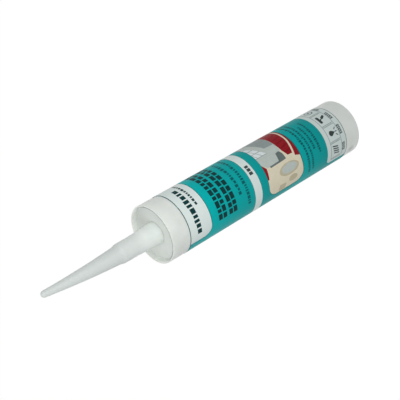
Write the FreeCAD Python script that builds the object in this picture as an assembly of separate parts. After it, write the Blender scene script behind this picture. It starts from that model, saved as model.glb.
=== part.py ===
import FreeCAD, Part
import math
import os

# A sealant cartridge that stands on its open rear rim with the nozzle upwards.
# Millimetres, +Z towards the nozzle, origin at the centre of the rear rim.

# Barrel
barrel_length = 220.8      # rear rim to front rim
barrel_radius = 25.0
barrel_wall = 1.5
rim_rounding = 0.4
mouth_depth = 11.0         # stretch of the rear bore that is opened out for the ram
mouth_step = 0.3           # how much wider the mouth is than the rest of the bore
mouth_taper = 1.5

# Head
recess_depth = 4.0         # front rim down to the floor round the neck
recess_wall = 1.8          # front rim, a little thicker than the barrel's wall
head_thickness = 2.0
head_rounding = 1.0        # inside corner between barrel and head
floor_rounding = 0.5       # corner between recess floor and rim
mark_radius = 1.0          # small moulded pip on the recess floor
mark_height = 0.35
mark_gap = 1.6             # nozzle foot to the pip
mark_angle = 29.0          # degrees from +X

# Neck, with its root at the bottom of the thread
neck_radius = 6.2
neck_wall = 1.8
neck_height = 20.0
neck_rounding = 0.4
nipple_height = 5.0        # closed tip that is cut off before use
nipple_radius = 2.8
nipple_wall = 1.2
nipple_rounding = 0.7

# Nozzle socket
thread_depth = 0.65        # room that the neck's thread takes
thread_clearance = 0.05
nipple_clearance = 2.0     # nipple to the end of the straight bore
socket_wall = 1.35
socket_taper_height = 24.0  # flared lower stretch of the socket
foot_flare = 1.15          # how much wider the foot is than the socket
foot_rounding = 0.6
socket_headroom = 9.5      # plain stretch above the straight bore
shoulder_height = 3.5
shoulder_step = 0.95       # how much narrower the cone starts

# Nozzle cone
cone_length = 65.6
cone_tip_radius = 2.7
cone_wall = 1.2
cone_bend = 2.4            # sideways set of the tip, towards +X

# Piston
piston_setback = 14.0      # rear rim to the piston's rear edge
piston_height = 20.0
piston_clearance = 0.05
piston_face = 1.6
piston_wall = 1.4
lip_height = 3.0
lip_depth = 0.6            # how far the two lips stand out from the skirt
lip_taper = 1.0
piston_rounding = 2.0      # inside corner of the cup
edge_rounding = 0.25

# Sealant
sealant_clearance = 0.05
sealant_gap = 0.3          # piston face to the sealant

# Label
label_front_gap = 17.3     # front rim to the label
label_rear_gap = 17.1
label_thickness = 0.12
label_adhesive = 0.06      # layer of glue between barrel and film
label_overlap = 8.0        # width of the glued overlap, round the barrel

# Worked-out sizes
bore_radius = barrel_radius - barrel_wall
mouth_radius = bore_radius + mouth_step
recess_radius = barrel_radius - recess_wall
floor_height = barrel_length - recess_depth
head_inside = floor_height - head_thickness
neck_bore = neck_radius - neck_wall
neck_top = floor_height + neck_height
nipple_top = neck_top + nipple_height
socket_bore = neck_radius + thread_depth + thread_clearance
socket_radius = socket_bore + socket_wall
foot_radius = socket_radius + foot_flare
bore_top = nipple_top + nipple_clearance
socket_top = bore_top + socket_headroom
cone_base = socket_top + shoulder_height
cone_base_radius = socket_radius - shoulder_step
piston_top = piston_setback + piston_height
lip_radius = bore_radius - piston_clearance
skirt_radius = lip_radius - lip_depth
label_bottom = label_rear_gap
label_top = barrel_length - label_front_gap
up = FreeCAD.Vector(0, 0, 1)
centre = FreeCAD.Vector(0, 0, 0)


def corner_point(corner):
    """Point in the XZ plane of a (radius, height, rounding) corner."""
    radius, height, _ = corner
    return FreeCAD.Vector(radius, 0, height)


def corner_bend(before, here, after, rounding):
    """Start, middle and end of the arc that rounds one corner, limited by its shorter side."""
    if rounding == 0:
        return here, None, here
    to_before = before - here
    to_after = after - here
    shorter_side = min(to_before.Length, to_after.Length)
    half_angle = to_before.getAngle(to_after) / 2
    reach = min(rounding / math.tan(half_angle), 0.45 * shorter_side)
    arc_radius = reach * math.tan(half_angle)
    to_before.normalize()
    to_after.normalize()
    inward = (to_before + to_after).normalize()
    middle = here + inward * (arc_radius / math.sin(half_angle) - arc_radius)
    return here + to_before * reach, middle, here + to_after * reach


def turned(corners):
    """Solid turned about Z, whose outline runs through (radius, height, rounding) corners."""
    points = [corner_point(corner) for corner in corners]
    bends = []
    for index, (_, _, rounding) in enumerate(corners):
        following = points[(index + 1) % len(points)]
        bends.append(corner_bend(points[index - 1], points[index], following, rounding))
    edges = []
    for index, (start, middle, end) in enumerate(bends):
        last_end = bends[index - 1][2]
        edges.append(Part.makeLine(last_end, start))
        if middle:
            edges.append(Part.Arc(start, middle, end).toShape())
    return Part.Face(Part.Wire(edges)).revolve(centre, up, 360)


def make_cartridge():
    """Barrel, recessed head, neck and closed nipple, moulded in one."""
    body = turned([
        (mouth_radius, 0, 0),
        (barrel_radius, 0, rim_rounding),
        (barrel_radius, barrel_length, rim_rounding),
        (recess_radius, barrel_length, rim_rounding),
        (recess_radius, floor_height, floor_rounding),
        (neck_radius, floor_height, neck_rounding),
        (neck_radius, neck_top, neck_rounding),
        (nipple_radius, nipple_top, nipple_rounding),
        (0, nipple_top, 0),
        (0, nipple_top - nipple_wall, 0),
        (nipple_radius - nipple_wall, nipple_top - nipple_wall, 0),
        (neck_bore, neck_top, 0),
        (neck_bore, head_inside, neck_rounding),
        (bore_radius, head_inside, head_rounding),
        (bore_radius, mouth_depth + mouth_taper, 0),
        (mouth_radius, mouth_depth, 0),
    ])
    mark_distance = foot_radius + mark_gap + mark_radius
    turn = math.radians(mark_angle)
    mark_base = FreeCAD.Vector(
        mark_distance * math.cos(turn), mark_distance * math.sin(turn), floor_height - mark_height)
    mark = Part.makeCylinder(mark_radius, 2 * mark_height, mark_base)
    return body.fuse(mark)


def cone_circle(share, radius):
    """Circle across the bent cone, at a share of its length."""
    whole_turn = 2 * math.atan(cone_bend / cone_length)
    bend_radius = cone_length / math.sin(whole_turn)
    turn = share * whole_turn
    sideways = bend_radius * (1 - math.cos(turn))
    along = bend_radius * math.sin(turn)
    circle = Part.Wire(Part.makeCircle(radius))
    tilt = FreeCAD.Rotation(FreeCAD.Vector(0, 1, 0), math.degrees(turn))
    circle.Placement = FreeCAD.Placement(FreeCAD.Vector(sideways, 0, cone_base + along), tilt)
    return circle


def bent_cone(base_radius, tip_radius):
    """Solid cone along the nozzle's bent centre line."""
    shares = [0.0, 0.25, 0.5, 0.75, 1.0]
    circles = [cone_circle(share, base_radius + (tip_radius - base_radius) * share) for share in shares]
    return Part.makeLoft(circles, True, False)


def make_nozzle():
    """Hollow nozzle: a flared socket over the neck, and a long closed cone."""
    socket = turned([
        (0, floor_height, 0),
        (foot_radius, floor_height, foot_rounding),
        (socket_radius, floor_height + socket_taper_height, 0),
        (socket_radius, socket_top, foot_rounding),
        (cone_base_radius, cone_base, 0),
        (0, cone_base, 0),
    ])
    tip = Part.makeSphere(cone_tip_radius, FreeCAD.Vector(cone_bend, 0, cone_base + cone_length))
    outside = socket.fuse([bent_cone(cone_base_radius, cone_tip_radius), tip])
    bore = turned([
        (0, floor_height, 0),
        (socket_bore, floor_height, 0),
        (socket_bore, bore_top, 0),
        (cone_base_radius - cone_wall, cone_base, 0),
        (0, cone_base, 0),
    ])
    inside = bore.fuse(bent_cone(cone_base_radius - cone_wall, cone_tip_radius - cone_wall))
    return outside.cut(inside).removeSplitter()


def make_piston():
    """Cup-shaped piston with a sealing lip at each end of its skirt."""
    cup_radius = skirt_radius - piston_wall
    front_lip = piston_top - lip_height
    rear_lip = piston_setback + lip_height
    return turned([
        (cup_radius, piston_setback, edge_rounding),
        (lip_radius, piston_setback, edge_rounding),
        (lip_radius, rear_lip, edge_rounding),
        (skirt_radius, rear_lip + lip_taper, 0),
        (skirt_radius, front_lip - lip_taper, 0),
        (lip_radius, front_lip, edge_rounding),
        (lip_radius, piston_top, edge_rounding),
        (0, piston_top, 0),
        (0, piston_top - piston_face, 0),
        (cup_radius, piston_top - piston_face, piston_rounding),
    ])


def make_sealant():
    """Paste that fills the barrel from the piston to the head."""
    radius = bore_radius - sealant_clearance
    return turned([
        (0, piston_top + sealant_gap, 0),
        (radius, piston_top + sealant_gap, edge_rounding),
        (radius, head_inside - sealant_clearance, head_rounding),
        (0, head_inside - sealant_clearance, 0),
    ])


def label_layer(inner_radius, degrees):
    """One layer of label film round the barrel, over an angle centred on +Y."""
    height = label_top - label_bottom
    base = FreeCAD.Vector(0, 0, label_bottom)
    outer = Part.makeCylinder(inner_radius + label_thickness, height, base, up, degrees)
    inner = Part.makeCylinder(inner_radius, height, base, up, degrees)
    layer = outer.cut(inner)
    layer.rotate(centre, up, 90 - degrees / 2)
    return layer


def make_label():
    """Film wrapped once round the barrel, doubled where its ends overlap."""
    wrap_radius = barrel_radius + label_adhesive
    wrap = label_layer(wrap_radius, 360)
    overlap_radius = wrap_radius + label_thickness
    overlap = label_layer(overlap_radius, math.degrees(label_overlap / overlap_radius))
    return wrap.fuse(overlap)


def main():
    """Build every piece and write it to its own file."""
    os.makedirs("parts", exist_ok=True)
    pieces = {
        "cartridge": make_cartridge(),
        "nozzle": make_nozzle(),
        "piston": make_piston(),
        "sealant": make_sealant(),
        "label": make_label(),
    }
    for name, shape in pieces.items():
        shape.exportStep(f"parts/{name}.step")
        box = shape.BoundBox
        print(f"{name}: {len(shape.Solids)} solid, {shape.Volume / 1000:.2f} ml, "
              f"z {box.ZMin:.2f} to {box.ZMax:.2f}, valid {shape.isValid()}")


main()
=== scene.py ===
"""Looks of a caulk tube: a printed film label round a moulded cartridge with a screw-on nozzle.

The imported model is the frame, in metres, and a name that ends in _mm holds millimetres. On the
label, "around" is the distance round the barrel from the side that faces -Y, positive towards +X,
and "back" is the distance behind the front rim.
"""

import logging
import math
from dataclasses import dataclass, field
from enum import Enum
from functools import cached_property, reduce

import bmesh
import bpy
from mathutils import Matrix, Vector


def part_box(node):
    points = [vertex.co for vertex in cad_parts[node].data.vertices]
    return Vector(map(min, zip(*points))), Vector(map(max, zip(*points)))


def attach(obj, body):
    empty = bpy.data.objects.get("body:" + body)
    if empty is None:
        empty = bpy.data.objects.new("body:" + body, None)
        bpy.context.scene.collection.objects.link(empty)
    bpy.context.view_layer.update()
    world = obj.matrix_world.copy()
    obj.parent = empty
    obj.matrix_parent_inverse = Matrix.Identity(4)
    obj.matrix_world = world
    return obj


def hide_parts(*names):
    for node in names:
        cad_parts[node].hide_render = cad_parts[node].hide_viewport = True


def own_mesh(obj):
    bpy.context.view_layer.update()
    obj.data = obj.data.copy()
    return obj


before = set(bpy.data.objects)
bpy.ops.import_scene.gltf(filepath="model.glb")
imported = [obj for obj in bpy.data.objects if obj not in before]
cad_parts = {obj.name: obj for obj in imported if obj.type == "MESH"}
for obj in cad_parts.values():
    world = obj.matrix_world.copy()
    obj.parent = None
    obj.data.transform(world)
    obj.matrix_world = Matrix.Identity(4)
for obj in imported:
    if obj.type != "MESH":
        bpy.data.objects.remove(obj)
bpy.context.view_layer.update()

log = logging.getLogger("caulk_tube")
MM = 0.001
BARREL_LENGTH_MM = 220.8
BARREL_RADIUS_MM = 25.0
STRIP_MM = 0.9           # widest strip of print, narrow enough to bend round the barrel
MERGE_M = 1e-7           # corners closer than this are one
CORNER_STEPS = 10
DISC_POINTS = 24
WHITE = "#FFFFFF"

Point = tuple[float, float]
Outline = list[Point]
Span = tuple[float, float]
Stops = tuple[Span, ...]
Colour = tuple[float, float, float, float]
Inputs = dict[str | int, object]
Socket = bpy.types.NodeSocket


def srgb(code: str) -> Colour:
    """Turn an sRGB hex code into the linear colour that Blender works in.

    Args:
        code: The colour as "#RRGGBB".

    Returns:
        Linear red, green and blue, and an alpha of 1.
    """
    channels = [int(code[start:start + 2], 16) / 255 for start in (1, 3, 5)]
    linear = [c / 12.92 if c <= 0.04045 else ((c + 0.055) / 1.055) ** 2.4 for c in channels]
    return (linear[0], linear[1], linear[2], 1.0)


def add_node(tree: bpy.types.NodeTree, kind: str, inputs: Inputs | None = None,
             **settings: object) -> bpy.types.Node:
    """Add a node with its settings, values and links.

    Args:
        tree: The node tree that gets the node.
        kind: Blender's type name of the node.
        inputs: Values or output sockets for its inputs, by name or number.
        **settings: Properties of the node.

    Returns:
        The new node.
    """
    node = tree.nodes.new(kind)
    for name, value in settings.items():
        setattr(node, name, value)
    for key, value in (inputs or {}).items():
        if isinstance(value, Socket):
            tree.links.new(value, node.inputs[key])
        else:
            node.inputs[key].default_value = value
    return node


class Nodes:
    """A node tree under construction."""

    prefix: str = "ShaderNode"   # start of the type names of the tree's own nodes

    def __init__(self, tree: bpy.types.NodeTree) -> None:
        """Start with an empty tree."""
        self.tree = tree
        tree.nodes.clear()

    def add(self, kind: str, inputs: Inputs | None = None,
            **settings: object) -> bpy.types.NodeOutputs:
        """Add one of the tree's own nodes and return its outputs."""
        return add_node(self.tree, self.prefix + kind, inputs, **settings).outputs

    def math(self, operation: str, *values: object) -> Socket:
        """Add a Math node and return its result."""
        return add_node(self.tree, "ShaderNodeMath", dict(enumerate(values)),
                        operation=operation).outputs["Value"]

    def mapped(self, value: Socket, low: object = 0.0, high: object = 1.0, first: object = 0.0,
               last: object = 1.0, **settings: object) -> Socket:
        """Map a value between low and high to one between first and last, and stop at both."""
        ends = {"Value": value, "From Min": low, "From Max": high, "To Min": first, "To Max": last}
        return add_node(self.tree, "ShaderNodeMapRange", ends, **settings).outputs["Result"]


class Shader(Nodes):
    """A material under construction."""

    def __init__(self, name: str) -> None:
        """Start an empty material.

        Args:
            name: The material's name.
        """
        self.material = bpy.data.materials.new(name)
        self.material.use_nodes = True
        super().__init__(self.material.node_tree)

    @cached_property
    def place(self) -> Socket:
        """Object coordinates, in millimetres."""
        place = self.add("TexCoord")["Object"]
        return self.add("VectorMath", {0: place, "Scale": 1 / MM}, operation="SCALE")["Vector"]

    @cached_property
    def axes(self) -> bpy.types.NodeOutputs:
        """X, Y and Z of the place, in millimetres."""
        return self.add("SeparateXYZ", {"Vector": self.place})

    @cached_property
    def radius(self) -> Socket:
        """Distance from the barrel's axis, in millimetres."""
        flat = self.add("VectorMath", {0: self.place, 1: (1.0, 1.0, 0.0)}, operation="MULTIPLY")
        return self.add("VectorMath", {0: flat["Vector"]}, operation="LENGTH")["Value"]

    def noise(self, size_mm: float, detail: float, roughness: float = 0.5,
              place: Socket | None = None) -> Socket:
        """Add noise with lumps of about a size, at the object's own place if no other is given."""
        return self.add("TexNoise", {"Vector": place or self.place, "Scale": 1 / size_mm,
                                     "Detail": detail, "Roughness": roughness})["Fac"]

    def mix(self, share: Socket, colour: Socket | Colour, other: str) -> Socket:
        """Mix a share of another colour, given in hex code, into a colour."""
        return self.add("Mix", {"Factor": share, "A": colour, "B": srgb(other)},
                        data_type="RGBA")["Result"]

    def product(self, *shares: Socket) -> Socket:
        """Multiply shares."""
        return reduce(lambda share, other: self.math("MULTIPLY", share, other), shares)

    def ramp(self, stops_mm: Stops) -> Socket:
        """Give a share that changes with the height on the tube.

        Args:
            stops_mm: Heights and their shares.

        Returns:
            The socket that holds the share.
        """
        low, high = min(stops_mm)[0], max(stops_mm)[0]
        ramp = add_node(self.tree, "ShaderNodeValToRGB",
                        {"Fac": self.mapped(self.axes["Z"], low, high)})
        stops = ramp.color_ramp.elements
        for number, (height_mm, share) in enumerate(sorted(stops_mm)):
            at = (height_mm - low) / (high - low)
            stop = stops[number] if number < 2 else stops.new(at)
            stop.position = at
            stop.color = (share, share, share, 1.0)
        return ramp.outputs["Color"]

    def relief(self, height: Socket, depth_mm: float, strength: float = 0.5) -> Socket:
        """Turn a height into relief of a depth."""
        return self.add("Bump", {"Height": height, "Strength": strength,
                                 "Distance": depth_mm * MM})["Normal"]

    def finish(self, inputs: Inputs) -> bpy.types.Material:
        """Add the Principled shader with its inputs, and return the finished material."""
        self.add("OutputMaterial", {"Surface": self.add("BsdfPrincipled", inputs)["BSDF"]})
        return self.material


@dataclass(frozen=True)
class MouldedPolyethylene:
    """High- or low-density polyethylene, injection moulded.

    It gives the eye a satin white with a faint green cast, soft edges where light sinks in a
    little, slow changes of tone from the melt's flow, and a fine grain from the mould.
    """

    name: str
    colour: str
    deep_colour: str
    roughness: float
    translucency: float
    mottle_mm: float = 16.0
    flow_mm: float = 1.6
    flow_stretch: float = 0.04
    grain_mm: float = 0.45   # the real grain is about 0.1 mm, drawn coarser so that it shows
    relief_mm: float = 0.012
    gloss_change: float = 0.06
    specular: float = 0.35
    glow_mm: float = 1.2     # how far light travels under the surface

    def material(self) -> bpy.types.Material:
        """Build the finish, with flow lines and mould grain.

        Returns:
            The finished material.
        """
        shader = Shader(self.name)
        drawn = shader.add("Mapping", {"Vector": shader.place,
                                       "Scale": (1.0, 1.0, self.flow_stretch)})
        flow = shader.noise(self.flow_mm, 2.0, place=drawn["Vector"])
        height = shader.math("MULTIPLY_ADD", flow, 0.6, shader.noise(self.grain_mm, 1.0))
        return shader.finish({
            "Base Color": self.toned(shader),
            "Roughness": shader.mapped(flow, first=self.roughness - self.gloss_change,
                                       last=self.roughness + self.gloss_change),
            "IOR": 1.52, "Specular IOR Level": self.specular,
            "Subsurface Weight": self.translucency, "Subsurface Radius": (1.0, 0.95, 0.8),
            "Subsurface Scale": self.glow_mm * MM,
            "Normal": shader.relief(height, self.relief_mm, 0.6)})

    def toned(self, shader: Shader) -> Socket:
        """Mix the two tones of the melt in slow patches."""
        patches = shader.mapped(shader.noise(self.mottle_mm, 3.0), 0.35, 0.7)
        return shader.mix(patches, srgb(self.colour), self.deep_colour)


@dataclass(frozen=True)
class NozzlePolyethylene(MouldedPolyethylene):
    """The nozzle's polyethylene.

    It gives the eye a white foot and a greyer cone, both painted light: a tone painted along the
    nozzle in place of how light falls on the thick foot and passes through the thin cone.
    """

    # painted light: the cone's greyer tone, and how far up the nozzle it is painted in
    thin_ink_and_painted_light_colour: str = "#D1D8D5"
    painted_light_at_mm: Stops = ((217.0, 0.0), (232.0, 0.06), (241.0, 0.58), (252.0, 0.7), (256.0, 1.0))

    def toned(self, shader: Shader) -> Socket:
        """Mix the two tones of the melt, then grey them along the nozzle with painted shade."""
        return shader.mix(shader.ramp(self.painted_light_at_mm), super().toned(shader), self.thin_ink_and_painted_light_colour)


@dataclass(frozen=True)
class WornBarrel(MouldedPolyethylene):
    """The barrel's polyethylene, with what handling leaves on it.

    It gives the eye a paler far side of the front rim, a painted glow in place of the light that
    comes through its thin wall, faint scuffs along both rims, a fine grey line of painted shade
    along the front rim's inner edge on its near side, and one soft grey rub mark near the rear.
    """

    wall_radius_mm: float = 22.8       # the wall lies outside it, the head and the neck inside
    # painted glow: the far side of the front rim is painted paler in place of light coming through its thin wall
    thin_ink_and_painted_light_colour: str = "#F1F5F0"
    painted_glow_height_mm: Span = (215.5, 219.5)
    painted_glow_towards: tuple[float, float, float] = (0.5, 0.87, 0.0)
    painted_glow_reach_mm: Span = (2.0, 18.0)   # that way from the axis
    scuff_colour: str = "#B9BFB9"
    scuff_mm: float = 2.2
    scuff_share: float = 0.3
    rim_band_mm: float = 1.6
    # painted shade: a grey line along the front rim's inner edge, in place of the shade in that crease, on the near
    # side only
    painted_crease_shade_colour: str = "#959B96"
    painted_crease_shade_radius_mm: float = 23.6
    painted_crease_shade_width_mm: float = 0.9
    painted_crease_shade_side_mm: Span = (-10.0, 4.0)   # Y over which the painted shade fades out
    rub_colour: str = "#8F9792"
    rub_at_mm: tuple[float, float, float] = (-22.3, -11.3, 9.3)
    rub_size_mm: float = 5.5
    rub_share: float = 0.6
    rub_lump_mm: float = 3.0
    rub_ragged_mm: float = 4.0         # how far its edge goes in and out

    def toned(self, shader: Shader) -> Socket:
        """Mix the two tones of the melt, then lay the marks over them.

        Args:
            shader: The material under construction.

        Returns:
            The socket that holds the colour.
        """
        colour = super().toned(shader)
        # the painted glow and the painted shade line are mixed in with the real scuffs and rub mark
        for share, mark in ((self.painted_glow_side(shader), self.thin_ink_and_painted_light_colour),
                            (self.scuffs(shader), self.scuff_colour),
                            (self.painted_crease_shade(shader), self.painted_crease_shade_colour),
                            (self.rub(shader), self.rub_colour)):
            colour = shader.mix(share, colour, mark)
        return colour

    def wall(self, shader: Shader) -> Socket:
        """Give 1 on the barrel's wall and 0 on what is inside it."""
        return shader.math("GREATER_THAN", shader.radius, self.wall_radius_mm)

    def painted_glow_side(self, shader: Shader) -> Socket:
        """Find the far side of the front rim, where a painted glow makes it paler.

        Args:
            shader: The material under construction.

        Returns:
            The socket that holds its share.
        """
        high = shader.mapped(shader.axes["Z"], *self.painted_glow_height_mm)
        reach = shader.add("VectorMath", {0: shader.place, 1: self.painted_glow_towards},
                           operation="DOT_PRODUCT")["Value"]
        return shader.product(high, self.wall(shader), shader.mapped(reach, *self.painted_glow_reach_mm))

    def scuffs(self, shader: Shader) -> Socket:
        """Find the specks along the two rims.

        Args:
            shader: The material under construction.

        Returns:
            The socket that holds their share.
        """
        middle = BARREL_LENGTH_MM / 2
        outward = shader.math("ABSOLUTE", shader.math("SUBTRACT", shader.axes["Z"], middle))
        band = shader.mapped(outward, middle - self.rim_band_mm, middle, last=self.scuff_share)
        specks = shader.mapped(shader.noise(self.scuff_mm, 4.0, 0.7), 0.5, 0.62)
        return shader.product(band, self.wall(shader), specks)

    def painted_crease_shade(self, shader: Shader) -> Socket:
        """Find the line of painted shade along the inner edge of the front rim, which fades out on one side.

        Args:
            shader: The material under construction.

        Returns:
            The socket that holds its share.
        """
        edge_mm = BARREL_LENGTH_MM - self.painted_crease_shade_width_mm
        beside = shader.math("COMPARE", shader.radius, self.painted_crease_shade_radius_mm, self.painted_crease_shade_width_mm / 2)
        at_rim = shader.math("GREATER_THAN", shader.axes["Z"], edge_mm)
        side = shader.mapped(shader.axes["Y"], *self.painted_crease_shade_side_mm, 1.0, 0.0)
        return shader.product(beside, at_rim, side)

    def rub(self, shader: Shader) -> Socket:
        """Find the soft rub mark near the rear rim.

        Args:
            shader: The material under construction.

        Returns:
            The socket that holds its share.
        """
        away = shader.add("VectorMath", {0: shader.place, 1: self.rub_at_mm},
                          operation="DISTANCE")["Value"]
        edge = shader.math("MULTIPLY_ADD", shader.noise(self.rub_lump_mm, 3.0),
                           self.rub_ragged_mm, away)
        inner = self.rub_ragged_mm / 2
        return shader.mapped(edge, inner, inner + self.rub_size_mm, self.rub_share, 0.0)


@dataclass(frozen=True)
class PrintedFilm:
    """Oriented polypropylene film, printed by flexography and glued down.

    It gives the eye a soft gloss, ink that is a shade thinner here and there, and long shallow
    waves where the film lies over the adhesive.
    """

    name: str
    colour: str
    thin_ink_and_painted_light_colour: str
    roughness: float = 0.42
    gloss_change: float = 0.05
    specular: float = 0.06
    density_mm: float = 3.0     # size of the patches where the ink is thinner
    wave_mm: float = 11.0
    wave_height_mm: float = 0.02

    def material(self) -> bpy.types.Material:
        """Build the printed film.

        Returns:
            The finished material.
        """
        shader = Shader(self.name)
        density = shader.noise(self.density_mm, 4.0, 0.65)
        return shader.finish({
            "Base Color": self.coloured(shader, shader.mapped(density, 0.4, 0.75)),
            "Roughness": shader.mapped(density, first=self.roughness - self.gloss_change,
                                       last=self.roughness + self.gloss_change),
            "IOR": 1.49, "Specular IOR Level": self.specular,
            "Normal": shader.relief(shader.noise(self.wave_mm, 1.0), self.wave_height_mm)})

    def coloured(self, shader: Shader, thin: Socket) -> Socket:
        """Mix the full ink with its thinner patches."""
        return shader.mix(thin, srgb(self.colour), self.thin_ink_and_painted_light_colour)


@dataclass(frozen=True)
class PaintedShadeFilm(PrintedFilm):
    """Film whose ground is deepened along each field by painted shade.

    It gives the eye a ground that is bright along the front edge of a field and deepens towards
    its rear edge, painted shade in place of how the light falls off along the tube.
    """

    # painted shade: the colour the ground deepens to, and how much at each height behind the front rim
    deep_colour: str = "#0B9595"
    painted_shade_at_mm: Stops = ((17.0, 0.5), (40.5, 0.05), (71.0, 0.5), (89.0, 0.62), (97.5, 0.72),
                         (106.0, 0.8), (147.0, 0.38), (179.0, 0.95))   # behind the front rim

    def coloured(self, shader: Shader, thin: Socket) -> Socket:
        """Mix the ink and its thinner patches, then deepen them along each field with painted shade."""
        heights = tuple((BARREL_LENGTH_MM - back, share) for back, share in self.painted_shade_at_mm)
        return shader.mix(shader.ramp(heights), super().coloured(shader, thin), self.deep_colour)


@dataclass(frozen=True)
class AcrylicPaste:
    """Acrylic sealant paste, pumped in from the rear.

    It gives the eye a wet, faintly lumpy off-white.
    """

    name: str = "acrylic_paste"
    colour: str = "#E9E7E1"
    deep_colour: str = "#DAD8D0"
    roughness: float = 0.28
    lump_mm: float = 4.0
    relief_mm: float = 0.15

    def material(self) -> bpy.types.Material:
        """Build the paste.

        Returns:
            The finished material.
        """
        shader = Shader(self.name)
        lumps = shader.noise(self.lump_mm, 3.0)
        return shader.finish({
            "Base Color": shader.mix(lumps, srgb(self.colour), self.deep_colour),
            "Roughness": self.roughness, "IOR": 1.47, "Subsurface Weight": 0.1,
            "Subsurface Scale": 1.0 * MM, "Normal": shader.relief(lumps, self.relief_mm)})


class Ink(Enum):
    """The inks on the label, each on the same film."""

    # the teal and the white carry painted shade that deepens them along the barrel
    TEAL = PaintedShadeFilm("film_teal_ink", "#00B0B1", "#0AB6B6")
    WHITE = PaintedShadeFilm("film_white_ink", "#DAE7E4", "#E0EAE7", deep_colour="#D0DDDA",
                       painted_shade_at_mm=((17.0, 0.0), (97.0, 0.2), (178.0, 1.0)))
    BLACK = PrintedFilm("film_black_ink", "#0A3638", "#123F41")
    DEEP_TEAL = PrintedFilm("film_deep_teal_ink", "#075D62", "#0D686C")
    LINE_GREY = PrintedFilm("film_line_grey_ink", "#7E8C89", "#8A9795")
    SYMBOL_GREY = PrintedFilm("film_symbol_grey_ink", "#3A4543", "#475250")
    PALE = PrintedFilm("film_pale_ink", "#C9E6E5", "#D3EBEA")
    CREAM = PrintedFilm("film_cream_ink", "#DDD5BC", "#E3DCC6")
    SAND = PrintedFilm("film_sand_ink", "#BDB69A", "#C6BFA6")
    GREY = PrintedFilm("film_grey_ink", "#BAC3BE", "#C3CBC7")
    SLATE = PrintedFilm("film_slate_ink", "#8F9B9A", "#99A4A3")
    SHADE = PrintedFilm("film_shade_ink", "#65716F", "#6F7B79")
    TILE = PrintedFilm("film_tile_ink", "#D9E3E3", "#E1E9E9")
    RED = PrintedFilm("film_red_ink", "#8E1620", "#98202A")
    DEEP_RED = PrintedFilm("film_deep_red_ink", "#741019", "#7E1A22")


class Tree(Nodes):
    """A Geometry Nodes tree under construction, with named inputs."""

    prefix: str = "GeometryNode"

    def __init__(self, name: str, inputs: dict[str, str]) -> None:
        """Start a tree that takes and gives geometry.

        Args:
            name: The tree's name.
            inputs: Kind of each further input, by its name.
        """
        super().__init__(bpy.data.node_groups.new(name, "GeometryNodeTree"))
        sockets = [("Geometry", "INPUT", "Geometry"), ("Geometry", "OUTPUT", "Geometry")]
        sockets += [(label, "INPUT", kind) for label, kind in inputs.items()]
        for label, side, kind in sockets:
            self.tree.interface.new_socket(label, in_out=side, socket_type="NodeSocket" + kind)
        self.given = add_node(self.tree, "NodeGroupInput").outputs

    def point(self, x: object = 0.0, y: object = 0.0, z: object = 0.0) -> Socket:
        """Join three coordinates."""
        axes = {"X": x, "Y": y, "Z": z}
        return add_node(self.tree, "ShaderNodeCombineXYZ", axes).outputs["Vector"]

    def random(self, low: Socket, high: object, seed: Socket) -> Socket:
        """Draw a number between low and high for each point."""
        return add_node(self.tree, "FunctionNodeRandomValue", {2: low, 3: high, "Seed": seed},
                        data_type="FLOAT").outputs[1]

    def finish(self, geometry: Socket, material: Socket) -> bpy.types.NodeTree:
        """Realize the tree's result, give it its material and return the tree.

        Args:
            geometry: The result.
            material: The input that holds its material.

        Returns:
            The finished tree.
        """
        solid = self.add("RealizeInstances", {"Geometry": geometry})
        done = self.add("SetMaterial", {"Geometry": solid["Geometry"], "Material": material})
        return self.give(done["Geometry"])

    def give(self, geometry: Socket) -> bpy.types.NodeTree:
        """Connect the tree's result and return the tree."""
        add_node(self.tree, "NodeGroupOutput", {"Geometry": geometry})
        return self.tree


def grown(name: str, tree: bpy.types.NodeTree, inputs: dict[str, object],
          start: bpy.types.Mesh | None = None) -> bpy.types.Mesh:
    """Run a tree once and keep its result as a plain mesh.

    Args:
        name: Name of the new mesh.
        tree: The Geometry Nodes tree.
        inputs: Value of each of the tree's inputs, by name.
        start: The mesh that the tree begins with, or None for an empty one.

    Returns:
        The plain mesh.
    """
    carrier = bpy.data.objects.new(name, start or bpy.data.meshes.new(name))
    modifier = carrier.modifiers.new("grow", "NODES")
    modifier.node_group = tree
    identifiers = {item.name: item.identifier for item in tree.interface.items_tree
                   if item.in_out == "INPUT"}
    for label, value in inputs.items():
        modifier[identifiers[label]] = value
    bpy.context.scene.collection.objects.link(carrier)
    graph = bpy.context.evaluated_depsgraph_get()
    mesh = bpy.data.meshes.new_from_object(carrier.evaluated_get(graph), depsgraph=graph)
    bpy.data.objects.remove(carrier)
    mesh.name = name
    return mesh


def make_piece(name: str, meshes: list[bpy.types.Mesh], material: bpy.types.Material, body: str) -> bpy.types.Object:
    """Join plain meshes to one piece that rides on a body.

    Args:
        name: Name of the piece.
        meshes: Its meshes, in the row frame.
        material: Its finish.
        body: The CAD body that it moves with.

    Returns:
        The finished piece.
    """
    joined = bmesh.new()
    for mesh in meshes:
        joined.from_mesh(mesh)
    whole = bpy.data.meshes.new(name)
    joined.to_mesh(whole)
    joined.free()
    for polygon in whole.polygons:
        polygon.material_index = 0
    whole.materials.append(material)
    piece = bpy.data.objects.new(name, whole)
    bpy.context.scene.collection.objects.link(piece)
    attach(piece, body)
    log.info("%s: %d faces on %s", name, len(whole.polygons), body)
    return piece


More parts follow.
